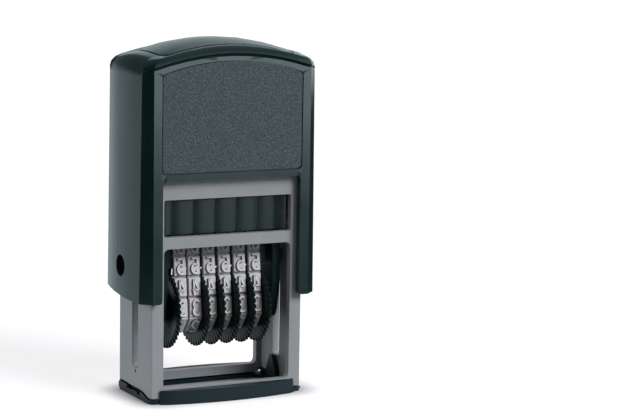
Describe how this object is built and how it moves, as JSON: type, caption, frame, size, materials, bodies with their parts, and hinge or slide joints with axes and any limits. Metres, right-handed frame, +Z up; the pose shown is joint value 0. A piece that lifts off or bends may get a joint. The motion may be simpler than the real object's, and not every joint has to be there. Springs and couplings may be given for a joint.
{
  "type": "self-inking numbering stamp",
  "caption": "Self-inking numbering stamp: a domed cap slides down over a windowed frame and turns a unit of number bands and thumbwheels from the ink pad to the paper.",
  "frame": {"origin": "middle of the foot's underside, which stands on the paper", "axes": "+X across the front to the right, +Y to the back, +Z up; the label side faces -Y"},
  "size_m": [0.0378, 0.0208, 0.0683],
  "materials": {
    "grey_abs": "satin",
    "foot_abs": "matte",
    "spring_steel": "bright",
    "cap_abs": "satin gloss",
    "crown_abs": "satin gloss",
    "label_foil": "textured",
    "wheel_abs": "satin",
    "band_rubber": "matte",
    "pad_abs": "satin",
    "felt": "soaked felt"
  },
  "bodies": {
    "frame": {"inner_frame": "grey_abs", "foot_frame": "foot_abs", "return_spring": "spring_steel"},
    "cap": {"cap_shell": "cap_abs", "crown_cover": "crown_abs", "label_plate": "label_foil"},
    "print_unit": {"left_cheek": "wheel_abs", "right_cheek": "wheel_abs", "print_bridge": "wheel_abs", "wheel_axle": "spring_steel", "number_band_1": "band_rubber", "number_band_2": "band_rubber", "number_band_3": "band_rubber", "number_band_4": "band_rubber", "number_band_5": "band_rubber", "number_band_6": "band_rubber"},
    "wheel_1": {"thumbwheel_1": "wheel_abs"},
    "wheel_2": {"thumbwheel_2": "wheel_abs"},
    "wheel_3": {"thumbwheel_3": "wheel_abs"},
    "wheel_4": {"thumbwheel_4": "wheel_abs"},
    "wheel_5": {"thumbwheel_5": "wheel_abs"},
    "wheel_6": {"thumbwheel_6": "wheel_abs"},
    "pad": {"pad_cartridge": "pad_abs", "ink_felt": "felt"}
  },
  "joints": [
    {"name": "cap_press", "type": "slide", "parent": "frame", "child": "cap", "axis": [0, 0, -1], "range_m": [0, 0.0175], "stiffness_N_per_m": 500, "springref_m": -0.01, "deforming": ["return_spring"]},
    {"name": "unit_flip", "type": "hinge", "parent": "cap", "child": "print_unit", "pos_m": [0, 0, 0.02555], "axis": [-1, 0, 0], "range_deg": [0, 180]},
    {"name": "wheel_1_turn", "type": "hinge", "parent": "print_unit", "child": "wheel_1", "pos_m": [0, 0, 0.0166], "axis": [1, 0, 0], "continuous": true},
    {"name": "wheel_2_turn", "type": "hinge", "parent": "print_unit", "child": "wheel_2", "pos_m": [0, 0, 0.0166], "axis": [1, 0, 0], "continuous": true},
    {"name": "wheel_3_turn", "type": "hinge", "parent": "print_unit", "child": "wheel_3", "pos_m": [0, 0, 0.0166], "axis": [1, 0, 0], "continuous": true},
    {"name": "wheel_4_turn", "type": "hinge", "parent": "print_unit", "child": "wheel_4", "pos_m": [0, 0, 0.0166], "axis": [1, 0, 0], "continuous": true},
    {"name": "wheel_5_turn", "type": "hinge", "parent": "print_unit", "child": "wheel_5", "pos_m": [0, 0, 0.0166], "axis": [1, 0, 0], "continuous": true},
    {"name": "wheel_6_turn", "type": "hinge", "parent": "print_unit", "child": "wheel_6", "pos_m": [0, 0, 0.0166], "axis": [1, 0, 0], "continuous": true},
    {"name": "pad_slide", "type": "slide", "parent": "frame", "child": "pad", "axis": [0, 1, 0], "range_m": [-0.02, 0]}
  ],
  "couplings": [
    {"joint": "unit_flip", "follows": "cap_press", "rad_per_m": 179.5}
  ]
}
